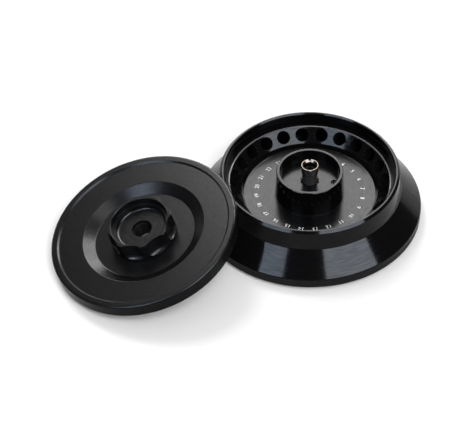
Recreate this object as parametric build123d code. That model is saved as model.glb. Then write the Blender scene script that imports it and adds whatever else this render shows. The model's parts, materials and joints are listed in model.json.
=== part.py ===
from build123d import *
from math import cos, pi, radians, sin, tan
import os

# Fixed angle rotor for microtubes, standing on its base, with its lid taken off and
# leaned against its rim. Millimetres, +Z up. The origin is on the rotor's spin axis,
# in the plane of the base, and the lid leans on the -X side.

# ---------------------------------------------------------------- driving dimensions
# Rotor bowl, inside
bowl_radius = 68.7        # upright wall that the lid's spigot drops into
bowl_lead_in = 1.0        # chamfer between that wall and the rim
ledge_height = 36.3       # step at the foot of the wall, above the tube cone
ledge_width = 3.6
ledge_edge = 0.5          # sloped edge between the step and the cone
cone_width = 10.0         # radial width of the cone that the tube bores start in
floor_step = 1.8          # radial width of the sloped wall between the cone and the floor
floor_height = 22.65
collar_radius = 27.0      # raised collar round the middle, at its top
collar_base_radius = 28.0
collar_wall = 2.4
collar_top = 46.1
collar_foot = 0.8         # width of the low ring that the collar rises from
collar_foot_height = 0.5
cup_floor = 35.8          # floor of the cup inside the collar
edge_break = 0.5          # small chamfer on turned edges

# Rotor bowl, outside
rim_top = 46.7            # height of the rim that the lid sits on
rim_land = 1.0            # width of the rim's flat top
rim_chamfer = 1.9         # sloped edge outside the flat top
band_drop = 15.0          # height of the upright band under the rim
band_taper = 1.5          # how much the band widens on the way down
shoulder_height = 11.4    # height of the widest part of the skirt
shoulder_draft = 0.3
base_flare = 3.8          # 45 degree slope between the skirt and the ring that the rotor stands on
band_fillet = 1.2
shoulder_fillet = 1.5

# Tube bores: blind holes, square to the tube cone
tube_count = 24
tube_start = -85.5        # direction of the first bore, round the spin axis
tube_angle = 45.0         # between a bore and the spin axis
tube_bore_radius = 5.5
tube_depth = 36.5
tube_tip_length = 5.0     # tapered end of a bore
tube_tip_radius = 2.2
tube_wall = 3.0           # metal between the bores and the hollow underside
skirt_wall = 3.1          # metal between the bores' ends and the outside of the skirt

# Underside and drive
floor_thickness = 5.65
boss_radius = 30.0        # ring of the bowl round the drive hub
boss_bottom = 12.0
hub_radius = 25.4
hub_bottom_flange = 13.0  # height of the hub flange's lower face
hub_top = 24.0
hub_neck_radius = 14.0
shaft_bore_radius = 6.0
shaft_bore_depth = 16.0
hub_screw_count = 3
hub_screw_circle = 20.0
hub_screw_start = -8.0
hub_screw_radius = 1.5
hub_screw_head_radius = 2.75
hub_screw_head_height = 3.0
hub_screw_recess = 4.0    # depth of the counterbore
hub_screw_reach = 6.0     # thread length in the hub
hub_screw_hex = 2.5

# Post in the middle of the cup, and the screw that it keeps captive
post_radius = 6.25
post_thread_radius = 6.6
post_thread_bottom = 44.5
post_top = 52.6
post_bore_radius = 4.9
post_seat = 29.0          # height of the step that the clamp screw bears on
ring_radius = 6.75
ring_flange = 1.0
ring_land = 0.5           # width of the ring's flat top
ring_mouth_depth = 1.4    # countersink inside the flat top
ring_wall = 0.8
ring_sleeve = 6.0
ring_notch = 2.0
ring_notch_depth = 1.0
pin_radius = 1.5          # the two pins that keep the clamp screw in
pin_height = 1.7          # pin centre above the cup floor
pin_stand_out = 1.1
pin_dome = 0.9            # round on a pin's outer end
pin_tip_gap = 0.4
screw_radius = 3.0
screw_head_radius = 4.6
screw_head_bottom = 41.0
screw_head_height = 7.0
screw_collar_top = 35.6
screw_bottom = 17.0
screw_hex = 5.0
screw_hex_depth = 5.0
washer_thickness = 1.0

# Lid, measured from the plane of its top edge, downwards
lid_overhang = 6.0        # how far the lid stands out past the rim's flat top
lid_edge_round = 1.8
bead_width = 6.55         # raised edge of the lid
bead_height = 1.2
bead_slope = 1.3
dish_outer_radius = 50.3
dish_inner_radius = 41.45
dish_depth = 5.05
lid_thickness = 3.5
lip_depth = 11.0          # from the top edge to the face that sits on the rim
spigot_depth = 6.6
spigot_clearance = 0.7    # radial, inside the bowl wall
spigot_wall = 5.0
spigot_chamfer = 0.6
seal_section = 2.4        # diameter of both O-rings
seal_groove_width = 2.6
seal_squeeze = 0.2
hub_skirt_wall = 3.9
hub_skirt_depth = 5.3
hub_skirt_clearance = 0.6

# Lid knob
knob_lobes = 8
knob_radius = 26.9
knob_phase = 7.0
knob_rise = 11.0          # top of the knob above the lid's top edge
knob_flute_depth = 3.0    # how far a flute cuts in from the lobes' circle
knob_flute_radius = 22.0
knob_flute_round = 4.5    # run-out at the foot of a flute
knob_foot_height = 1.8
knob_cup_radius = 23.4
knob_ledge_depth = 5.5
knob_ledge_radius = 20.8
knob_cup_depth = 9.0
knob_cup_floor_radius = 20.4
knob_cup_floor_thickness = 2.2
knob_hole_radius = 8.3
knob_edge_round = 0.4
knob_running_gap = 0.3
nut_radius = 10.0
nut_thread_radius = 7.0
nut_reach = 13.5          # lower end of the nut, under the lid's top edge
bush_wall = 1.95
bush_flange = 3.0
bush_flange_thickness = 1.0
wave_washer_thickness = 0.7
circlip_thickness = 1.0
circlip_width = 2.6
circlip_depth = 0.8
circlip_gap = 4.0

# Where the lid leans
lid_azimuth = -157.4      # direction from the spin axis to the lid
lid_overlap = 2.0         # how far the lid's edge reaches in over the rim's flat top

# Fits
press_gap = 0.02
running_gap = 0.05
screw_gap = 0.15
seat_gap = 0.02


# ------------------------------------------------------------------- shared helpers
def turned(points, rounds=()):
    """Solid of revolution about Z from (radius, height) points.

    rounds lists (index of a point, fillet radius).
    """
    face = make_face(Polyline(*[(r, z) for r, z in points], close=True))
    for index, radius in rounds:
        corner = Vector(*points[index])
        vertex = min(face.vertices(), key=lambda v: (Vector(*v.center()) - corner).length)
        face = fillet(vertex, radius)
    upright = Plane.XZ * face
    return revolve(upright, Axis.Z)


def ring_of(section_radius, centre_radius, height):
    """O-ring about Z."""
    return Pos(0, 0, height) * Torus(centre_radius, section_radius)


def hex_socket(across_flats, depth, top):
    return Pos(0, 0, top - depth) * extrude(RegularPolygon(across_flats / 2, 6, major_radius=False), depth)


def save(part, name):
    part.label = name
    export_step(part, f"parts/{name}.step")


# ------------------------------------------------------------------------ the rotor
rim_inner_radius = bowl_radius + bowl_lead_in
rim_radius = rim_inner_radius + rim_land
band_top = rim_top - rim_chamfer
band_top_radius = rim_radius + rim_chamfer
band_bottom = band_top - band_drop
band_bottom_radius = band_top_radius + band_taper
cone_outer_radius = bowl_radius - ledge_width
cone_inner_radius = cone_outer_radius - cone_width
floor_radius = cone_inner_radius - floor_step
ceiling = floor_height - floor_thickness
cone_foot = ledge_height - cone_width / tan(radians(tube_angle))
mouth_radius = (cone_outer_radius + cone_inner_radius) / 2
mouth_height = (ledge_height + cone_foot) / 2
# the skirt clears the bores' ends, and the ring that the rotor stands on lies inside it
tip_reach = mouth_radius + tube_depth * sin(radians(tube_angle)) + tube_tip_radius * cos(radians(tube_angle))
shoulder_radius = tip_reach + skirt_wall
flare_radius = shoulder_radius - shoulder_draft
base_radius = flare_radius - base_flare
# the hollow underside runs parallel to the bores, one wall inside them
axis_sum = mouth_radius + mouth_height * tan(radians(tube_angle))
hollow_offset = (tube_bore_radius + tube_wall) / cos(radians(tube_angle))
hollow_base_radius = axis_sum - hollow_offset
hollow_top_radius = hollow_base_radius - ceiling * tan(radians(tube_angle))


def tube_cutter():
    """One bore, mouth at the origin and running down -Z."""
    straight = tube_depth - tube_tip_length
    return turned(
        [
            (0, tube_bore_radius),
            (tube_bore_radius, tube_bore_radius),
            (tube_bore_radius, -straight),
            (tube_tip_radius, -tube_depth),
            (0, -tube_depth),
        ]
    )


def hub_screw_spots():
    step = 360 / hub_screw_count
    return [
        Rot(0, 0, hub_screw_start + step * i) * Pos(hub_screw_circle, 0, 0)
        for i in range(hub_screw_count)
    ]


def make_rotor_body():
    body = turned(
        [
            (post_radius + press_gap, hub_top),
            (hub_radius + press_gap, hub_top),
            (hub_radius + press_gap, boss_bottom),
            (boss_radius, boss_bottom),
            (boss_radius, ceiling),
            (hollow_top_radius, ceiling),
            (hollow_base_radius, 0),
            (base_radius, 0),
            (flare_radius, base_flare),
            (shoulder_radius, shoulder_height),
            (band_bottom_radius, band_bottom),
            (band_top_radius, band_top),
            (rim_radius, rim_top),
            (rim_inner_radius, rim_top),
            (bowl_radius, rim_top - bowl_lead_in),
            (bowl_radius, ledge_height),
            (cone_outer_radius + ledge_edge, ledge_height),
            (cone_outer_radius - ledge_edge, ledge_height - ledge_edge),
            (cone_inner_radius, cone_foot),
            (floor_radius, floor_height),
            (collar_base_radius + collar_foot, floor_height),
            (collar_base_radius + collar_foot, floor_height + collar_foot_height),
            (collar_base_radius, floor_height + collar_foot_height),
            (collar_radius, collar_top - edge_break),
            (collar_radius - edge_break, collar_top),
            (collar_radius - collar_wall, collar_top),
            (collar_radius - collar_wall, cup_floor),
            (post_radius + press_gap, cup_floor),
        ],
        rounds=[(9, shoulder_fillet), (10, band_fillet)],
    )
    cutter = tube_cutter()
    lean = Pos(mouth_radius, 0, mouth_height) * Rot(0, -tube_angle, 0)
    step = 360 / tube_count
    for i in range(tube_count):
        body -= Rot(0, 0, tube_start + step * i) * lean * cutter
    seat = cup_floor - hub_screw_recess
    for spot in hub_screw_spots():
        body -= spot * Pos(0, 0, seat) * Cylinder(
            hub_screw_head_radius + screw_gap, hub_screw_recess, align=(Align.CENTER, Align.CENTER, Align.MIN)
        )
        body -= spot * Pos(0, 0, hub_top) * Cylinder(
            hub_screw_radius + screw_gap, seat - hub_top, align=(Align.CENTER, Align.CENTER, Align.MIN)
        )
    return body


def make_drive_hub():
    screw_hole = screw_radius + 2 * screw_gap
    hub = turned(
        [
            (shaft_bore_radius, 0),
            (hub_neck_radius - edge_break, 0),
            (hub_neck_radius, edge_break),
            (hub_neck_radius, hub_bottom_flange),
            (hub_radius - edge_break, hub_bottom_flange),
            (hub_radius, hub_bottom_flange + edge_break),
            (hub_radius, hub_top),
            (screw_hole, hub_top),
            (screw_hole, shaft_bore_depth),
            (shaft_bore_radius, shaft_bore_depth),
        ]
    )
    for spot in hub_screw_spots():
        depth = hub_screw_reach + edge_break
        hub -= spot * Pos(0, 0, hub_top - depth) * Cylinder(
            hub_screw_radius + press_gap, depth, align=(Align.CENTER, Align.CENTER, Align.MIN)
        )
    return hub


def make_hub_screw():
    """Cap screw standing on its seat, which is at z = 0."""
    shank = cup_floor - hub_screw_recess - hub_top + hub_screw_reach
    screw = turned(
        [
            (0, -shank),
            (hub_screw_radius, -shank),
            (hub_screw_radius, 0),
            (hub_screw_head_radius, 0),
            (hub_screw_head_radius, hub_screw_head_height - edge_break),
            (hub_screw_head_radius - edge_break, hub_screw_head_height),
            (0, hub_screw_head_height),
        ]
    )
    return screw - hex_socket(hub_screw_hex, hub_screw_head_height / 2, hub_screw_head_height)


ring_sleeve_radius = post_bore_radius + ring_wall
ring_bottom = post_top - ring_flange


def pin_spots():
    height = cup_floor + pin_height
    return [Rot(0, 0, turn) * Pos(0, 0, height) * Rot(0, 90, 0) for turn in (0, 180)]


def make_post():
    screw_hole = screw_radius + 2 * screw_gap
    post = turned(
        [
            (screw_hole, hub_top),
            (post_radius, hub_top),
            (post_radius, post_thread_bottom),
            (post_thread_radius, post_thread_bottom + (post_thread_radius - post_radius)),
            (post_thread_radius, ring_bottom),
            (ring_sleeve_radius + press_gap, ring_bottom),
            (ring_sleeve_radius + press_gap, ring_bottom - ring_sleeve),
            (post_bore_radius, ring_bottom - ring_sleeve),
            (post_bore_radius, post_seat),
            (screw_hole, post_seat),
        ]
    )
    hole = Cylinder(pin_radius + press_gap, 2 * post_radius, align=(Align.CENTER, Align.CENTER, Align.MIN))
    for spot in pin_spots():
        post -= spot * hole
    return post


def make_post_ring():
    bore = post_bore_radius + press_gap
    ring = turned(
        [
            (bore, ring_bottom - ring_sleeve + press_gap),
            (ring_sleeve_radius, ring_bottom - ring_sleeve + press_gap),
            (ring_sleeve_radius, ring_bottom),
            (ring_radius, ring_bottom),
            (ring_radius, post_top),
            (ring_radius - ring_land, post_top),
            (bore, post_top - ring_mouth_depth),
        ]
    )
    slot = Box(ring_notch, 4 * ring_radius, ring_notch_depth, align=(Align.CENTER, Align.CENTER, Align.MAX))
    return ring - Pos(0, 0, post_top) * slot


def make_pin():
    """Pin along +Z from near the axis, with a domed outer end."""
    inner = screw_radius + pin_tip_gap
    outer = post_radius + pin_stand_out
    return turned(
        [
            (0, inner),
            (pin_radius - edge_break, inner),
            (pin_radius, inner + edge_break),
            (pin_radius, outer),
            (0, outer),
        ],
        rounds=[(3, pin_dome)],
    )


def make_clamp_screw():
    head_top = screw_head_bottom + screw_head_height
    collar_bottom = post_seat + washer_thickness
    screw = turned(
        [
            (0, screw_bottom),
            (screw_radius - edge_break, screw_bottom),
            (screw_radius, screw_bottom + edge_break),
            (screw_radius, collar_bottom),
            (screw_head_radius, collar_bottom),
            (screw_head_radius, screw_collar_top),
            (screw_radius, screw_collar_top),
            (screw_radius, screw_head_bottom),
            (screw_head_radius, screw_head_bottom),
            (screw_head_radius, head_top - edge_break),
            (screw_head_radius - edge_break, head_top),
            (0, head_top),
        ]
    )
    return screw - hex_socket(screw_hex, screw_hex_depth, head_top)


def make_clamp_washer():
    hole = screw_radius + screw_gap
    outer = post_bore_radius - screw_gap
    top = post_seat + washer_thickness - seat_gap
    return turned([(hole, post_seat), (outer, post_seat), (outer, top), (hole, top)])


# -------------------------------------------------------------------------- the lid
lid_radius = rim_radius + lid_overhang
lid_distance = rim_radius + lid_radius - lid_overlap  # from the spin axis to the lid's centre
spigot_radius = bowl_radius - spigot_clearance
spigot_foot = lip_depth + spigot_depth
annulus = -bead_height
flat = annulus - dish_depth
flat_under = flat - lid_thickness
slope_run = dish_outer_radius - dish_inner_radius
lid_hole = nut_radius + running_gap + bush_wall + press_gap
skirt_inner = collar_radius + hub_skirt_clearance
skirt_outer = skirt_inner + hub_skirt_wall
seal_radius = seal_section / 2
rim_seal_centre = bowl_radius + seal_squeeze - seal_radius
rim_groove_floor = rim_seal_centre - seal_radius
hub_seal_centre = collar_radius + seal_radius + running_gap
hub_groove_floor = hub_seal_centre + seal_radius
rim_seal_height = -(lip_depth + spigot_depth / 2 + edge_break / 2)
hub_seal_height = flat_under - hub_skirt_depth / 2
half_groove = seal_groove_width / 2


def lid_tilt():
    """Lean of the lid, in degrees.

    The foot of its spigot stands on the bench and its lip lies on the rim's outer edge.
    """
    foot = spigot_radius - spigot_chamfer

    def height_over_rim(angle):
        centre = foot * sin(angle) + spigot_foot * cos(angle)
        reach = rim_radius - lid_distance
        return -(reach * sin(angle) + (rim_top - centre) * cos(angle)) - lip_depth - seat_gap

    low, high = 0.0, pi / 4
    for _ in range(60):
        middle = (low + high) / 2
        if height_over_rim(middle) > 0:
            high = middle
        else:
            low = middle
    return high * 180 / pi


def lid_place():
    """Location of the lid's own frame: +Z out of its top, +X down its slope."""
    tilt = radians(lid_tilt())
    turn = radians(lid_azimuth)
    foot = spigot_radius - spigot_chamfer
    height = foot * sin(tilt) + spigot_foot * cos(tilt)
    centre = (lid_distance * cos(turn), lid_distance * sin(turn), height)
    down = (cos(tilt) * cos(turn), cos(tilt) * sin(turn), -sin(tilt))
    out = (sin(tilt) * cos(turn), sin(tilt) * sin(turn), cos(tilt))
    return Location(Plane(origin=centre, x_dir=down, z_dir=out))


def make_lid_plate():
    bead_inner = lid_radius - bead_width
    foot = -spigot_foot
    groove_top = rim_seal_height + half_groove
    groove_low = rim_seal_height - half_groove
    hub_top_side = hub_seal_height + half_groove
    hub_low_side = hub_seal_height - half_groove
    spigot_inner = spigot_radius - spigot_wall
    under_shift = lid_thickness * dish_depth / (2 * slope_run)  # keeps the dish's wall even
    return turned(
        [
            (lid_hole, flat),
            (dish_inner_radius, flat),
            (dish_outer_radius, annulus),
            (bead_inner, annulus),
            (bead_inner + bead_slope, 0),
            (lid_radius, 0),
            (lid_radius, -lip_depth + edge_break),
            (lid_radius - edge_break, -lip_depth),
            (spigot_radius, -lip_depth),
            (spigot_radius, groove_top),
            (rim_groove_floor, groove_top),
            (rim_groove_floor, groove_low),
            (spigot_radius, groove_low),
            (spigot_radius, foot + spigot_chamfer),
            (spigot_radius - spigot_chamfer, foot),
            (spigot_inner + spigot_chamfer, foot),
            (spigot_inner, foot + spigot_chamfer),
            (spigot_inner, annulus - lid_thickness),
            (dish_outer_radius + under_shift, annulus - lid_thickness),
            (dish_outer_radius + under_shift - slope_run, flat_under),
            (skirt_outer, flat_under),
            (skirt_outer, flat_under - hub_skirt_depth),
            (skirt_inner, flat_under - hub_skirt_depth),
            (skirt_inner, hub_low_side),
            (hub_groove_floor, hub_low_side),
            (hub_groove_floor, hub_top_side),
            (skirt_inner, hub_top_side),
            (skirt_inner, flat_under),
            (lid_hole, flat_under),
        ],
        rounds=[(5, lid_edge_round), (2, 1.0), (1, 1.0)],
    )


knob_bottom = flat + knob_running_gap
knob_cup_floor = knob_rise - knob_cup_depth
nut_top = knob_cup_floor - knob_cup_floor_thickness
recess_radius = nut_radius + running_gap + bush_wall + bush_flange + knob_running_gap
recess_top = flat + bush_flange_thickness + running_gap


def flute_cutter():
    """One flute of the knob: a big cylinder with a rounded lower edge, beside the axis."""
    foot = knob_bottom + knob_foot_height
    tall = knob_rise - foot + 1
    away = knob_radius - knob_flute_depth + knob_flute_radius
    drum = turned(
        [
            (0, 0),
            (knob_flute_radius, 0),
            (knob_flute_radius, tall),
            (0, tall),
        ],
        rounds=[(1, knob_flute_round)],
    )
    return Pos(away, 0, foot) * drum


def make_knob():
    knob = turned(
        [
            (nut_radius + press_gap, recess_top),
            (recess_radius, recess_top),
            (recess_radius, knob_bottom),
            (knob_radius, knob_bottom),
            (knob_radius, knob_rise),
            (knob_cup_radius, knob_rise),
            (knob_cup_radius, knob_rise - knob_ledge_depth),
            (knob_ledge_radius, knob_rise - knob_ledge_depth),
            (knob_cup_floor_radius, knob_cup_floor),
            (knob_hole_radius, knob_cup_floor),
            (knob_hole_radius, nut_top),
            (nut_radius + press_gap, nut_top),
        ],
        rounds=[(3, 1.0), (4, knob_edge_round), (5, knob_edge_round), (8, 2.0)],
    )
    cutter = flute_cutter()
    step = 360 / knob_lobes
    for i in range(knob_lobes):
        knob -= Rot(0, 0, knob_phase + step * i) * cutter
    return knob


wave_top = flat_under - seat_gap
circlip_top = wave_top - wave_washer_thickness - seat_gap
circlip_low = circlip_top - circlip_thickness


def make_knob_nut():
    groove = nut_radius - circlip_depth
    return turned(
        [
            (nut_thread_radius + edge_break, -nut_reach),
            (nut_radius - edge_break, -nut_reach),
            (nut_radius, -nut_reach + edge_break),
            (nut_radius, circlip_low - seat_gap),
            (groove, circlip_low - seat_gap),
            (groove, circlip_top + seat_gap),
            (nut_radius, circlip_top + seat_gap),
            (nut_radius, nut_top),
            (nut_thread_radius + edge_break, nut_top),
            (nut_thread_radius, nut_top - edge_break),
            (nut_thread_radius, -nut_reach + edge_break),
        ]
    )


def make_knob_bush():
    inner = nut_radius + running_gap
    outer = inner + bush_wall
    top = flat + bush_flange_thickness
    return turned(
        [
            (inner, flat_under),
            (outer, flat_under),
            (outer, flat),
            (outer + bush_flange, flat),
            (outer + bush_flange, top),
            (inner, top),
        ]
    )


def make_wave_washer():
    inner = nut_radius + 2 * screw_gap
    outer = lid_hole + bush_flange / 2
    bottom = wave_top - wave_washer_thickness
    return turned([(inner, bottom), (outer, bottom), (outer, wave_top), (inner, wave_top)])


def make_circlip():
    inner = nut_radius - circlip_depth + press_gap
    outer = inner + circlip_width
    clip = turned([(inner, circlip_low), (outer, circlip_low), (outer, circlip_top), (inner, circlip_top)])
    gap = Box(2 * outer, circlip_gap, 4 * circlip_thickness, align=(Align.MIN, Align.CENTER, Align.CENTER))
    return clip - Pos(0, 0, circlip_low) * gap


# ------------------------------------------------------------------ build and export
os.makedirs("parts", exist_ok=True)

save(make_rotor_body(), "rotor_body")
save(make_drive_hub(), "drive_hub")
for number, spot in enumerate(hub_screw_spots(), start=1):
    save(spot * Pos(0, 0, cup_floor - hub_screw_recess) * make_hub_screw(), f"hub_screw_{number}")
save(make_post(), "centre_post")
save(make_post_ring(), "post_ring")
for side, spot in zip(("right", "left"), pin_spots()):
    save(spot * make_pin(), f"retaining_pin_{side}")
save(make_clamp_screw(), "clamp_screw")
save(make_clamp_washer(), "clamp_washer")

lid = lid_place()
save(lid * make_lid_plate(), "lid_plate")
save(lid * ring_of(seal_radius, rim_seal_centre, rim_seal_height), "lid_rim_seal")
save(lid * ring_of(seal_radius, hub_seal_centre, hub_seal_height), "lid_hub_seal")
save(lid * make_knob(), "lid_knob")
save(lid * make_knob_nut(), "knob_nut")
save(lid * make_knob_bush(), "knob_bush")
save(lid * make_wave_washer(), "knob_wave_washer")
save(lid * make_circlip(), "knob_circlip")
print("lid tilt", round(lid_tilt(), 3), "lid frame", lid)
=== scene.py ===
# %% [markdown]
# # Fixed angle rotor with its lid
# The real thing is a turned aluminium bowl that a centrifuge spins. It has 24 slanted bores for
# small tubes and a lid that a lobed knob screws down on the centre post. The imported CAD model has
# the solids, each at its real place, and nothing here moves them. This script gives them their
# finishes and adds what is too fine for solids: the tube numbers printed on the bowl's floor, and
# the thread ridges on the post and in the knob's nut. Then it sets up a plain studio. Sizes are
# written in millimetres, as on a maker's drawing, and multiplied by MM.

import json
import math

import bmesh
import bpy
from mathutils import Matrix, Vector


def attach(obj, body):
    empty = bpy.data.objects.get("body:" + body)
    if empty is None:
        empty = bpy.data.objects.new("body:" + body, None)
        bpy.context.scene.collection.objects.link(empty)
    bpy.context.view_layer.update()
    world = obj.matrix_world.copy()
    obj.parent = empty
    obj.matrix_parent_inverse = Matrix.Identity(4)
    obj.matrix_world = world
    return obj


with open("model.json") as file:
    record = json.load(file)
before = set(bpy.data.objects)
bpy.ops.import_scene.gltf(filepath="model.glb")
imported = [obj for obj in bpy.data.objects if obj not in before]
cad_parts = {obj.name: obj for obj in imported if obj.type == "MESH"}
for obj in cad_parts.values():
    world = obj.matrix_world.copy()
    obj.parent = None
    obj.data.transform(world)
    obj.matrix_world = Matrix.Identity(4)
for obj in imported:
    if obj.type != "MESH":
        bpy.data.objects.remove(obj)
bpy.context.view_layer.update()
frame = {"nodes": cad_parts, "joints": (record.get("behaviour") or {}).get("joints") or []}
nodes = frame["nodes"]
MM = 0.001
scene = bpy.context.scene

# %% [markdown]
# ## Camera
# A long lens from a little over two metres away flattens the perspective, so that the circles
# keep nearly the same shape from front to back. It looks down at 43.5 degrees and is turned a
# little about its own line of sight. The camera could be placed by hand and aimed with a
# constraint. Here its place is worked out from where it sees the centre of the rotor's rim,
# which fixes the framing exactly.

# %% Camera
RIM_CENTRE = Vector((0, 0, 45.0)) * MM
SEEN_AT = Vector((58.259, -33.934, 2416.5)) * MM    # the rim's centre: right, down and forward
PITCH = 0.7599779916887748                          # radians below the horizon
ROLL = -0.012973402118712275                        # radians about the line of sight
FOCAL_PX = 3000.0
IMAGE_WIDTH_PX = 475.0
SENSOR_MM = 36.0


def put(name, data):
    """A new object that shows this data, in the scene."""
    thing = bpy.data.objects.new(name, data)
    scene.collection.objects.link(thing)
    return thing


# The rows of both matrices are the camera's right, down and forward directions.
tilted = Matrix(((1, 0, 0),
                 (0, -math.sin(PITCH), -math.cos(PITCH)),
                 (0, math.cos(PITCH), -math.sin(PITCH))))
rolled = Matrix(((math.cos(ROLL), -math.sin(ROLL), 0),
                 (math.sin(ROLL), math.cos(ROLL), 0),
                 (0, 0, 1)))
view = rolled @ tilted
camera = put("camera", bpy.data.cameras.new("camera"))
camera.data.sensor_fit = "HORIZONTAL"
camera.data.sensor_width = SENSOR_MM
camera.data.lens = FOCAL_PX * SENSOR_MM / IMAGE_WIDTH_PX
camera.data.clip_start, camera.data.clip_end = 0.1, 20.0
axes = Matrix((view[0], -view[1], -view[2])).transposed().to_4x4()
axes.translation = RIM_CENTRE - view.transposed() @ SEEN_AT
camera.matrix_world = axes
scene.camera = camera
print("camera at", [round(c, 3) for c in axes.translation], "lens", round(camera.data.lens, 1))

# %% [markdown]
# ## Colours and nodes
# Colours are written as sRGB hex values, as a screen or a paint chart gives them. The renderer
# works in linear light, so one function turns them. `add` makes one shader node with its settings
# and links, and gives back the output that the next node needs, so that a chain of nodes reads
# like a sum. The same nodes can be dragged together in the editor, but a function builds the same
# tree again for each finish, with other numbers.

# %% Colours and nodes
def colour(text, lighter=1.0):
    """The linear colour of an sRGB hex value, made lighter or darker by a factor."""
    values = [int(text[i:i + 2], 16) / 255 for i in (1, 3, 5)]
    linear = [v / 12.92 if v <= 0.04045 else ((v + 0.055) / 1.055) ** 2.4 for v in values]
    return [v * lighter for v in linear] + [1.0]


def connect(tree, node, **inputs):
    """Sets or links a node's inputs, by name (Base_Color) or by number (_0)."""
    for key, value in inputs.items():
        socket = node.inputs[int(key[1:]) if key[0] == "_" else key.replace("_", " ")]
        if isinstance(value, bpy.types.NodeSocket):
            tree.links.new(value, socket)
        else:
            socket.default_value = value


def add(tree, kind, out=0, settings=None, **inputs):
    """Adds a node and returns one of its outputs, by number or by name."""
    node = tree.nodes.new("ShaderNode" + kind)
    for key, value in (settings or {}).items():
        setattr(node, key, value)
    connect(tree, node, **inputs)
    return node.outputs[out]


def new_material(name, **constants):
    """A material, its node tree and its shader, with the constants on the shader's sockets."""
    material = bpy.data.materials.new(name)
    material.use_nodes = True
    shader = material.node_tree.nodes["Principled BSDF"]
    connect(material.node_tree, shader, **constants)
    return material, material.node_tree, shader


MULTIPLY, SUBTRACT = {"operation": "MULTIPLY"}, {"operation": "SUBTRACT"}
ADD, DIVIDE = {"operation": "ADD"}, {"operation": "DIVIDE"}
DOT = {"operation": "DOT_PRODUCT"}
print("mid grey in linear light", round(colour("#808080")[0], 3))

# %% [markdown]
# ## Rings of the lathe
# All the metal parts were turned, so their marks run round an axis: the rotor's own, or that of
# the lid, which leans. Nodes work out how far a point is from its axis, how high along it and at
# which angle round it. A noise that is read in those three numbers, squeezed across the rings and
# stretched round them, gives marks like a lathe's. A wave texture would be simpler, but its rings
# are too even.

# %% Rings of the lathe
ROTOR_AXIS = (Vector((0, 0, 0)), Vector((0, 0, 1)))
lid_joint = next(joint for joint in frame["joints"] if joint["name"] == "knob_turn")
LID_AXIS = (Vector(lid_joint["pos_m"]), Vector(lid_joint["axis"]).normalized())


def turned_place(tree, axis):
    """Distance from the axis and height along it in mm, and the angle round it in radians."""
    origin, up = axis
    point = add(tree, "VectorMath", settings=SUBTRACT,
                _0=add(tree, "TexCoord", "Object"), _1=origin)
    side = up.orthogonal().normalized()
    metres = [add(tree, "VectorMath", "Value", DOT, _0=point, _1=way)
              for way in (side, up.cross(side), up)]
    x, y, height = [add(tree, "Math", settings=MULTIPLY, _0=m, _1=1 / MM) for m in metres]
    squares = add(tree, "Math", settings={"operation": "MULTIPLY_ADD"}, _0=y, _1=y,
                  _2=add(tree, "Math", settings=MULTIPLY, _0=x, _1=x))
    radius = add(tree, "Math", settings={"operation": "SQRT"}, _0=squares)
    angle = add(tree, "Math", settings={"operation": "ARCTAN2"}, _0=y, _1=x)
    return radius, height, angle


def turned_noise(tree, place, across_mm, turns):
    """Noise whose marks are across_mm wide across the rings and long round the axis."""
    radius, height, angle = place
    where = add(tree, "CombineXYZ",
                _0=add(tree, "Math", settings=DIVIDE, _0=radius, _1=across_mm),
                _1=add(tree, "Math", settings=DIVIDE, _0=height, _1=across_mm),
                _2=add(tree, "Math", settings=MULTIPLY, _0=angle, _1=turns))
    return add(tree, "TexNoise", "Fac", Vector=where, Scale=1.0, Detail=3.0)


print("lid's axis", [round(c, 3) for c in LID_AXIS[1]])

# %% [markdown]
# ## Places on the bowl
# Three places on the one-piece bowl are set apart from the rest. The slanted bores were
# drilled and reamed, so their walls are duller. The level ledge above them was left as rough
# turned, so it shines less. The sharp edge between the ledge and the cone of bores is broken,
# and a thin pale line of painted highlight is put in its colour, for the light such an edge
# catches.
# A loose mesh could have a material for each group of faces. A node of the CAD model keeps its
# one slot, so each place is a mask that is found from a point's radius, height and slope.

# %% Places on the bowl
SLANT = math.sqrt(2)           # a step along a 45 degree bore adds this to out less rise
BORE_MOUTH = (60.1, 31.3)      # radius and height of the middle of a bore's mouth, in mm
BORE_REACH = 6.0               # a little more than a bore's radius
BORE_SPAN = (2.0, 45.0)        # how far in the wall of a bore starts and ends
BORE_SOFT = (1.5, 0.2)         # the mask fades over this, along the bore and beside it
LEDGE_RADII, LEDGE_RADII_SOFT = (65.6, 68.9), 0.2
LEDGE_HEIGHTS, LEDGE_HEIGHTS_SOFT = (36.0, 36.6), 0.5
EDGE_RADII, EDGE_RADII_SOFT = (64.4, 65.8), 0.3
EDGE_SLOPES, EDGE_SLOPES_SOFT = (0.86, 0.92), 0.04     # cosine of the broken edge's slope


def within(tree, value, span, soft):
    """1 where value lies in the span, falling to 0 over soft on either side."""
    low, high = span
    rising = add(tree, "MapRange", _0=value, _1=low - soft, _2=low)
    falling = add(tree, "MapRange", _0=value, _1=high, _2=high + soft, _3=1.0, _4=0.0)
    return add(tree, "Math", settings=MULTIPLY, _0=rising, _1=falling)


def in_tube_bores(tree, place):
    """1 on the walls of the slanted bores, from the place along and beside a bore's axis."""
    out = add(tree, "Math", settings=SUBTRACT, _0=place[0], _1=BORE_MOUTH[0])
    rise = add(tree, "Math", settings=SUBTRACT, _0=place[1], _1=BORE_MOUTH[1])
    along = add(tree, "Math", settings=SUBTRACT, _0=out, _1=rise)
    beside = add(tree, "Math", settings=ADD, _0=out, _1=rise)
    reach = BORE_REACH * SLANT
    return add(tree, "Math", settings=MULTIPLY,
               _0=within(tree, along, [end * SLANT for end in BORE_SPAN], BORE_SOFT[0] * SLANT),
               _1=within(tree, beside, (-reach, reach), BORE_SOFT[1] * SLANT))


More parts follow.
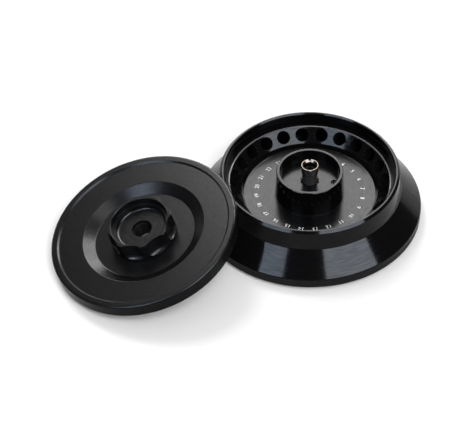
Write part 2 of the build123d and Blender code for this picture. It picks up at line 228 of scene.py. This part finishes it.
def on_ledge(tree, place):
    """1 on the level ledge between the bowl's wall and the cone of bores."""
    return add(tree, "Math", settings=MULTIPLY,
               _0=within(tree, place[0], LEDGE_RADII, LEDGE_RADII_SOFT),
               _1=within(tree, place[1], LEDGE_HEIGHTS, LEDGE_HEIGHTS_SOFT))


def on_ledge_edge(tree, place, facing):
    """1 on the narrow sloped edge between the ledge and the cone, where a pale line is painted as a
    highlight.
    """
    return add(tree, "Math", settings=MULTIPLY,
               _0=within(tree, facing, EDGE_SLOPES, EDGE_SLOPES_SOFT),
               _1=within(tree, place[0], EDGE_RADII, EDGE_RADII_SOFT))


print("ledge", round(LEDGE_RADII[1] - LEDGE_RADII[0], 1), "mm wide")

# %% Finish of these places
DRILLED_ROUGHNESS = 0.5
LEDGE_SHINE = 0.2              # share of the shine that the ledge keeps
# Painted highlight: this pale grey on the ledge's sloped edge stands in for the thin line of light
# that the edge catches.
PAINTED_EDGE_HIGHLIGHT = "#5c5c5e"


def bowl_places(tree, place, facing, roughness, shine, tint):
    """The three values, changed in the bores, on the ledge, and on the ledge's edge, where the tint
    gets a painted highlight.
    """
    roughness = add(tree, "Mix", 0, {"data_type": "FLOAT"}, _0=in_tube_bores(tree, place),
                    _2=roughness, _3=DRILLED_ROUGHNESS)
    dimmed = add(tree, "MapRange", _0=on_ledge(tree, place), _3=1.0, _4=LEDGE_SHINE)
    shine = add(tree, "Math", settings=MULTIPLY, _0=dimmed, _1=shine)
    # The ledge's edge is tinted with the pale grey of the painted highlight.
    tint = add(tree, "Mix", 2, {"data_type": "RGBA"}, _0=on_ledge_edge(tree, place, facing),
               _6=tint, _7=colour(PAINTED_EDGE_HIGHLIGHT))
    return roughness, shine, tint


print("pale edge", [round(c, 3) for c in colour(PAINTED_EDGE_HIGHLIGHT)[:3]])

# %% [markdown]
# ## A dark film on turned metal
# Anodising turns the skin of aluminium into a clear, hard oxide and fills it with black dye, and
# black oxide or phosphate does much the same to steel. The eye gets a nearly black ground with a
# weak mirror over it, in which the lathe's rings still show as streaks of more and less shine. A
# metal shader would mirror too strongly and tint the highlights. So the film is made as a dark
# dielectric, and its specular level says how strongly it mirrors.

# %% Shine of the film
NOISE_LOW, NOISE_HIGH = 0.3, 0.7         # nearly all of a noise lies between these
STREAK_LOW, STREAK_HIGH = 0.35, 0.65     # closer together, for streaks that stand out more
LEVEL_SLOPES = (0.85, 0.95)              # cosines at which a side turns into a level face
SIDE_SLOPE = 0.1


def film_shine(tree, streaks, specks, facing, shine, streak, grain, side_shine):
    """The specular level: streaked by the lathe, speckled by the pores, less on the sides."""
    streaked = add(tree, "MapRange", _0=streaks, _1=STREAK_LOW, _2=STREAK_HIGH,
                   _3=shine * (1 - streak), _4=shine * (1 + streak))
    turned = add(tree, "MapRange", _0=facing, _1=SIDE_SLOPE, _2=LEVEL_SLOPES[1],
                 _3=side_shine, _4=1.0)
    spotted = add(tree, "MapRange", _0=specks, _1=NOISE_LOW, _2=NOISE_HIGH,
                  _3=1 - grain, _4=1 + grain)
    sided = add(tree, "Math", settings=MULTIPLY, _0=streaked, _1=turned)
    return add(tree, "Math", settings=MULTIPLY, _0=sided, _1=spotted)


print("level faces lean", round(math.degrees(math.acos(LEVEL_SLOPES[1]))), "degrees at most")

# %% Dark film
RING_MM, RING_TURNS = 0.35, 2.0          # coarser than the real feed of 0.1 mm, so that they show
RING_DEPTH_MM = 0.002
RING_UNEVEN = 0.02                       # how much the rings vary the roughness
SPECKS_PER_MM = 1.1                      # pores of the film, drawn coarser than real
PALE_SPECK = 1.5
EDGE_MM = 0.15                           # a sharp edge is broken by about this much


def dark_film(name, base, rough, level_rough, shine, axis, streak_mm=1.0, streak_turns=9.0,
              streak=0.25, grain=0.0, side_shine=1.0, drilled=False):
    """rough is for the sides and level_rough for faces square to the axis. streak and grain are
    the shares by which the rings and the pores vary the shine. drilled marks the bowl's places."""
    material, tree, shader = new_material(name)
    place = turned_place(tree, axis)
    streaks = turned_noise(tree, place, streak_mm, streak_turns)
    rings = turned_noise(tree, place, RING_MM, RING_TURNS)
    specks = add(tree, "TexNoise", "Fac", Vector=add(tree, "TexCoord", "Object"),
                 Scale=SPECKS_PER_MM / MM, Detail=2.0)
    facing = add(tree, "VectorMath", "Value", DOT, _0=add(tree, "TexCoord", "Normal"), _1=axis[1])
    roughness = add(tree, "MapRange", _0=facing, _1=LEVEL_SLOPES[0], _2=LEVEL_SLOPES[1],
                    _3=rough, _4=level_rough)
    bright = film_shine(tree, streaks, specks, facing, shine, streak, grain, side_shine)
    pores = add(tree, "MapRange", _0=specks, _1=NOISE_LOW, _2=NOISE_HIGH)
    tint = add(tree, "Mix", 2, {"data_type": "RGBA"}, _0=pores,
               _6=colour(base), _7=colour(base, PALE_SPECK))
    if drilled:
        roughness, bright, tint = bowl_places(tree, place, facing, roughness, bright, tint)
    uneven = add(tree, "MapRange", _0=rings, _1=NOISE_LOW, _2=NOISE_HIGH,
                 _3=-RING_UNEVEN, _4=RING_UNEVEN)
    # The bevel node rounds the solids' sharp edges, so that they catch a thin line of light.
    rounded = add(tree, "Bevel", settings={"samples": 6}, Radius=EDGE_MM * MM)
    connect(tree, shader, Specular_IOR_Level=bright, Base_Color=tint,
            Roughness=add(tree, "Math", settings=ADD, _0=roughness, _1=uneven),
            Normal=add(tree, "Bump", Strength=1.0, Distance=RING_DEPTH_MM * MM, Height=rings,
                       Normal=rounded))
    return material


print("specks", round(1 / SPECKS_PER_MM, 2), "mm apart, rings", RING_MM, "mm")

# %% [markdown]
# ## The black finishes
# The bowl was turned fine and anodised to a gloss: it is the darkest piece, and mirrors the
# softboxes as clear patches with fine streaks. The lid and the knob were blasted or turned
# coarser before the bath, so the same film is satin there. The post is phosphated, which leaves
# steel dark grey, and the screws and the knob's steel parts are oiled black oxide.

# %% The black finishes
# Gloss black that mirrors lamps sharply, with streaks round the spin axis.
black_body = dark_film("gloss black anodised aluminium", "#070708", 0.1, 0.2, 0.1, ROTOR_AXIS,
                       streak_mm=0.9, streak_turns=8.0, streak=0.18, drilled=True)
# Soft highlights along the lobes, broken by short tool marks that catch the light.
black_knob = dark_film("satin black anodised knob", "#0a0a0b", 0.25, 0.3, 0.135, LID_AXIS,
                       streak_mm=0.6, streak_turns=3.0, streak=0.5)
# An even charcoal sheen with a fine grain, and duller upright sides.
lid_black = dark_film("satin black anodised lid", "#0a0a0b", 0.25, 0.3, 0.128, LID_AXIS,
                      streak=0.06, grain=0.3, side_shine=0.4)
# A dark grey that sets the post off from the black cup round it.
post_steel = dark_film("phosphated steel", "#2e2e2f", 0.3, 0.35, 0.2, ROTOR_AXIS, streak_mm=0.4)
# Nearly dead black in the sunk screws and on the thread, with a trace of oil.
blackened = dark_film("black oxide steel", "#0e0e0f", 0.35, 0.4, 0.06, ROTOR_AXIS, streak_mm=0.4)
# The dullest black, so that the hole through the knob stays dark.
lid_blackened = dark_film("black oxide spring steel", "#0a0a0a", 0.4, 0.4, 0.03, LID_AXIS,
                          streak_mm=0.4)
for film in (black_body, black_knob, lid_black, post_steel, blackened, lid_blackened):
    print(film.name, len(film.node_tree.nodes), "nodes")

# %% [markdown]
# ## Bare metals
# The ring in the post is nickel plated and polished, the two pins are brass, and the drive hub,
# the washer and the wave spring are stainless steel left as turned. A metal has no colour under
# its surface, so the shader is fully metallic and the base colour tints what it mirrors. Fine
# rings in the roughness and the normals stretch each highlight across the lathe's marks.

# %% Bare metals
METAL_RING_MM = 0.2            # coarser than the real feed of about 0.1 mm
METAL_RING_DEPTH_MM = 0.01
METAL_UNEVEN = 0.06            # how much the rings vary the roughness
GROOVE_SHADE = 0.8             # the bottoms of the rings are a little darker


def bare_metal(name, base, rough, axis=ROTOR_AXIS):
    """Turned metal without a film."""
    material, tree, shader = new_material(name, Metallic=1.0)
    rings = turned_noise(tree, turned_place(tree, axis), METAL_RING_MM, 1.0)
    roughness = add(tree, "MapRange", _0=rings, _1=NOISE_LOW, _2=NOISE_HIGH,
                    _3=rough - METAL_UNEVEN, _4=rough + METAL_UNEVEN)
    crests = add(tree, "MapRange", _0=rings, _1=STREAK_LOW, _2=STREAK_HIGH)
    connect(tree, shader, Roughness=roughness,
            Base_Color=add(tree, "Mix", 2, {"data_type": "RGBA"}, _0=crests,
                           _6=colour(base, GROOVE_SHADE), _7=colour(base)),
            Normal=add(tree, "Bump", Strength=1.0, Distance=METAL_RING_DEPTH_MM * MM,
                       Height=rings))
    return material


# A warm, clear glint: the one bright spot in the bowl.
nickel = bare_metal("polished nickel", "#4c4740", 0.2)
# Brass painted a deep brown as painted shade, for the shaded side of the post where the pins sit,
# so it shows as a dull gold only where a lamp strikes it.
brass = bare_metal("brass darkened with painted shade", "#3c2f1a", 0.4)
# Pale grey with blurred rings, under the rotor and under the lid.
stainless = bare_metal("turned stainless steel", "#a6a6a8", 0.3)
lid_stainless = bare_metal("turned stainless steel on the lid", "#a6a6a8", 0.3, LID_AXIS)
print("bare metals", [m.name for m in (nickel, brass, stainless, lid_stainless)])

# %% [markdown]
# ## Rubber, plastic and ink
# The seals are moulded rubber, the knob's bush is turned from acetal, and the tube numbers are
# printed in white ink. None of them has rings that show, so a plain noise gives each its grain: a
# little more and less rough, lighter and darker, and very slightly raised.

# %% Rubber, plastic and ink
GRAIN_UNEVEN = 0.08            # how much the grain varies the roughness
PALE_GRAIN = 1.4


def grained(name, base, rough, grains_per_mm, depth_mm):
    """A moulded or printed surface with an even grain."""
    material, tree, shader = new_material(name)
    grain = add(tree, "TexNoise", "Fac", Vector=add(tree, "TexCoord", "Object"),
                Scale=grains_per_mm / MM, Detail=5.0)
    spread = {"_0": grain, "_1": NOISE_LOW, "_2": NOISE_HIGH}
    connect(tree, shader,
            Roughness=add(tree, "MapRange", **spread, _3=rough - GRAIN_UNEVEN,
                          _4=rough + GRAIN_UNEVEN),
            Base_Color=add(tree, "Mix", 2, {"data_type": "RGBA"},
                           _0=add(tree, "MapRange", **spread),
                           _6=colour(base), _7=colour(base, PALE_GRAIN)),
            Normal=add(tree, "Bump", Strength=1.0, Distance=depth_mm * MM, Height=grain))
    return material


# Matte, with no clear highlight, from a mould of spark-eroded steel.
rubber = grained("matte black rubber", "#161616", 0.6, 2.5, 0.02)
# A waxy sheen, a little clearer than the rubber's.
acetal = grained("black acetal", "#1d1d1d", 0.35, 0.9, 0.01)
# A flat, slightly grey white that stays as bright in the bowl's shade as ink does.
ink = grained("white printed ink", "#cfd2d4", 0.5, 6.0, 0.003)
print("grained", [m.name for m in (rubber, acetal, ink)])

# %% [markdown]
# ## Giving out the finishes
# A node of the CAD model has one slot for its material. The table pairs each node with the finish
# that the real part has, and a node that was left out would stop the script.

# %% Giving out the finishes
FINISHES = {
    "rotor_body": black_body, "centre_post": post_steel, "post_ring": nickel,
    "retaining_pin_right": brass, "retaining_pin_left": brass, "clamp_screw": blackened,
    "hub_screw_1": blackened, "hub_screw_2": blackened, "hub_screw_3": blackened,
    "clamp_washer": stainless, "drive_hub": stainless,
    "lid_plate": lid_black, "lid_knob": black_knob, "knob_nut": lid_blackened,
    "knob_bush": acetal, "knob_wave_washer": lid_stainless, "knob_circlip": lid_blackened,
    "lid_rim_seal": rubber, "lid_hub_seal": rubber,
}
for name, solid in nodes.items():
    for slot in solid.material_slots:
        slot.material = FINISHES[name]
print("finished nodes", len(nodes))

# %% [markdown]
# ## Tube numbers
# Each bore has its number printed on the bowl's floor, with its top outwards. A picture of the
# ring of numbers would blur close up, so each is a text curve turned into a thin flat mesh, and
# all 24 are joined into one piece that lies a hair above the floor.

# %% One number
FLOOR_HEIGHT = 22.65
NUMBER_RADIUS = 43.0
NUMBER_HEIGHT = 3.4
FIGURE_SHARE = 0.7             # a figure is this much of the font's size high
INK_LIFT = 0.03
STROKE_CUT = -0.06             # thins the strokes by this much on either side


def printed_number(value, azimuth):
    """The flat mesh of a number that lies on the floor at this azimuth, in radians."""
    text = bpy.data.curves.new(f"number {value}", "FONT")
    text.body = str(value)
    text.size = NUMBER_HEIGHT / FIGURE_SHARE * MM
    text.align_x, text.align_y = "CENTER", "CENTER"
    text.resolution_u = 3
    text.offset = STROKE_CUT * MM
    holder = put(text.name, text)
    bpy.context.view_layer.update()
    shaped = holder.evaluated_get(bpy.context.evaluated_depsgraph_get())
    flat = bpy.data.meshes.new_from_object(shaped)
    turn = Matrix.Rotation(azimuth - math.pi / 2, 4, "Z")
    spot = Vector((math.cos(azimuth) * NUMBER_RADIUS, math.sin(azimuth) * NUMBER_RADIUS,
                   FLOOR_HEIGHT + INK_LIFT)) * MM
    flat.transform(Matrix.Translation(spot) @ turn)
    bpy.data.objects.remove(holder)
    bpy.data.curves.remove(text)
    return flat


print("figures", NUMBER_HEIGHT, "mm high")

# %% The ring of numbers
COUNT = 24
FIRST_NUMBER = 94.5            # azimuth of number 1, in degrees; the rest follow clockwise
numbers = bmesh.new()
for k in range(COUNT):
    flat = printed_number(k + 1, math.radians(FIRST_NUMBER - 360 / COUNT * k))
    numbers.from_mesh(flat)
    bpy.data.meshes.remove(flat)
mesh = bpy.data.meshes.new("tube_numbers")
numbers.to_mesh(mesh)
numbers.free()
tube_numbers = put("tube_numbers", mesh)
mesh.materials.append(ink)
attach(tube_numbers, "rotor")
print("numbers", len(mesh.polygons), "faces")

# %% [markdown]
# ## Threads
# The top of the post carries a fine thread, and the knob's nut has the same thread inside. A
# screw modifier could sweep it, but the ends would stay blunt. So each is one ridge, built from a
# small cross-section that climbs along a helix and fades at both ends. It stands on the plain
# wall of the solid: outwards on the post, inwards in the nut. The nut's one rides on the knob, so
# that it turns with it.

# %% Cross-sections along a helix
THREAD_PITCH = 0.75            # mm that the helix climbs in a turn
STEPS = 72                     # cross-sections in a turn
HALF_ROOT, HALF_CREST = 0.3, 0.06
FADE_TURNS = 0.5               # the ridge rises to its full height over half a turn
LEAST = 0.05                   # from this share of it
POST_THREAD = (6.58, 6.78, 45.3, 50.6)       # radius of root and crest, lowest and highest turn
NUT_THREAD = (7.02, 6.82, -13.0, -0.8)       # its crest points inwards


def helix_sections(root, crest, low, high):
    """Corners of each cross-section from radius root to crest, between two heights, in mm."""
    turns = (high - low) / THREAD_PITCH
    for i in range(int(turns * STEPS) + 1):
        angle = 2 * math.pi * i / STEPS
        height = low + THREAD_PITCH * i / STEPS
        from_ends = (i / STEPS / FADE_TURNS, (turns * STEPS - i) / STEPS / FADE_TURNS)
        top = root + (crest - root) * max(LEAST, min(1.0, *from_ends))
        corners = ((root, -HALF_ROOT), (top, -HALF_CREST), (top, HALF_CREST), (root, HALF_ROOT))
        yield [Vector((radius * math.cos(angle), radius * math.sin(angle), height + rise)) * MM
               for radius, rise in corners]


print("sections on the post", len(list(helix_sections(*POST_THREAD))))


# %% Threads
def thread_ridge(name, thread, axis, material, body):
    """A ridge whose sections are joined side by side and closed at both ends."""
    origin, up = axis
    upright = Matrix.Translation(origin) @ up.to_track_quat("Z", "Y").to_matrix().to_4x4()
    ridge = bmesh.new()
    sections = [[ridge.verts.new(upright @ corner) for corner in section]
                for section in helix_sections(*thread)]
    for a, b in zip(sections, sections[1:]):
        for j in range(4):
            ridge.faces.new((a[j], b[j], b[(j + 1) % 4], a[(j + 1) % 4]))
    ridge.faces.new(sections[0])
    ridge.faces.new(list(reversed(sections[-1])))
    bmesh.ops.recalc_face_normals(ridge, faces=ridge.faces)
    mesh = bpy.data.meshes.new(name)
    ridge.to_mesh(mesh)
    ridge.free()
    piece = put(name, mesh)
    mesh.materials.append(material)
    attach(piece, body)
    print(name, len(mesh.polygons), "faces")


thread_ridge("post_thread", POST_THREAD, ROTOR_AXIS, blackened, "rotor")
thread_ridge("nut_thread", NUT_THREAD, LID_AXIS, lid_blackened, "knob")

# %% [markdown]
# ## Floor
# The rotor stands on a roll of white paper. The suns make it white, and the object's shadow falls
# on it as it would in a studio. Real paper also gets light from all round the room, which fills
# the shadows. Here a small share of the paper shines by itself, but only to rays from the camera
# and from reflections, so that it puts no light on the object.

# %% Floor
FLOOR_REACH = 12.0             # metres from the middle to each side
PAPER_GLOW = 0.08
corners = [(x * FLOOR_REACH, y * FLOOR_REACH, 0) for x, y in ((-1, -1), (1, -1), (1, 1), (-1, 1))]
floor_mesh = bpy.data.meshes.new("floor")
floor_mesh.from_pydata(corners, [], [(0, 1, 2, 3)])
floor = put("floor", floor_mesh)
# Flat white without a sheen.
material, tree, shader = new_material("white studio paper", Roughness=0.9, Specular_IOR_Level=0.0,
                                      Base_Color=colour("#f4f4f4"))
rays = add(tree, "LightPath").node.outputs
seen = rays["Is Camera Ray"]
for kind in ("Is Glossy Ray", "Is Transmission Ray"):
    seen = add(tree, "Math", settings={"operation": "MAXIMUM"}, _0=seen, _1=rays[kind])
paper = add(tree, "MixShader", _0=add(tree, "Math", settings=MULTIPLY, _0=seen, _1=PAPER_GLOW),
            _1=shader.outputs[0], _2=add(tree, "Emission", Color=colour("#ffffff"), Strength=1.0))
connect(tree, tree.nodes["Material Output"], Surface=paper)
floor_mesh.materials.append(material)
print("floor", 2 * FLOOR_REACH, "m wide")

# %% [markdown]
# ## Room
# A black object shows the room in its gloss. A bright room would turn it grey all over, so the
# world is dim, apart from a narrow white band at the horizon that joins the paper to the backdrop.

# %% Room
COVE_TOP = 0.03                # sine of the angle up to which the horizon is white
ROOM_LEVEL = 0.12
world = bpy.data.worlds.new("studio")
scene.world = world
world.use_nodes = True
tree = world.node_tree
direction = add(tree, "TexCoord", "Generated")
rise = add(tree, "SeparateXYZ", 2, _0=direction)
level = add(tree, "MapRange", _0=rise, _1=COVE_TOP, _2=COVE_TOP * 2, _3=1.0, _4=ROOM_LEVEL)
connect(tree, tree.nodes["Background"], Strength=level, Color=colour("#ffffff"))
scene.view_settings.view_transform = "Standard"
print("room level", ROOM_LEVEL)

# %% [markdown]
# ## Reflection lamps
# Black gloss shows little but what it mirrors, so five lamps are there for that alone and put no
# light on rough surfaces. Two softboxes on the camera's side give the skirt its bright patches. A
# wide and a narrow one behind light the level faces and the slopes of the lid's dish. A panel
# above lights the narrow edges. Each lamp's angle was found by reflecting the line of sight in
# the face that should shine.


# %% Reflection lamps
def toward(azimuth, elevation):
    """Direction to a lamp: azimuth 0 is the camera's side and 90 the right."""
    a, e = math.radians(azimuth), math.radians(elevation)
    return Vector((math.sin(a) * math.cos(e), -math.cos(a) * math.cos(e), math.sin(e)))


AIM = Vector((0, 0, 30.0)) * MM


def softbox(name, azimuth, elevation, distance, width, height, radiance, tint="#ffffff"):
    """An area lamp that faces the rotor; radiance is how bright it looks in a perfect mirror."""
    light = bpy.data.lights.new(name, "AREA")
    light.shape = "RECTANGLE"
    light.size, light.size_y = width, height
    light.energy = radiance * math.pi * width * height
    light.color = colour(tint)[:3]
    lamp = put(name, light)
    way = toward(azimuth, elevation)
    lamp.location = AIM + way * distance
    lamp.rotation_euler = way.to_track_quat("Z", "Y").to_euler()
    lamp.visible_diffuse = False
    print(name, "at", [round(c, 2) for c in lamp.location])


# Name, azimuth and elevation in degrees, distance, width and height in metres, radiance, tint.
softbox("softbox left", -43.5, 40, 1.5, 0.72, 1.1, 14.0, "#daeaff")
softbox("softbox right", 41, 40, 1.5, 1.15, 1.1, 16.5, "#ecf3ff")
softbox("softbox back", -171, 43, 0.8, 0.62, 0.6, 14.0)
softbox("softbox back right", 147, 42, 0.8, 0.28, 0.5, 22.0)
softbox("ceiling panel", 0, 86, 1.2, 0.4, 0.4, 8.0)

# %% [markdown]
# ## Suns
# Three suns whiten the paper and give the soft shadows, and don't show in reflections. One stands
# straight above. The key, behind at the left, throws the shadow forward to the right. The
# fill, in front at the right, makes that shadow pale. A sun's spread is its width in the sky: the
# wider it is, the softer its shadow.


# %% Suns
def sun(name, azimuth, elevation, spread, strength):
    """A distant lamp with parallel light, from a disc that is spread degrees wide."""
    light = bpy.data.lights.new(name, "SUN")
    light.energy = strength
    light.angle = math.radians(spread)
    lamp = put(name, light)
    lamp.rotation_euler = toward(azimuth, elevation).to_track_quat("Z", "Y").to_euler()
    lamp.visible_glossy = False
    print(name, strength, "W/m2")


# Name, azimuth, elevation and spread in degrees, strength.
sun("overhead", 0, 90, 70, 0.7)
sun("key", -150, 52, 26, 1.4)
sun("fill", 18, 50, 30, 2.3)
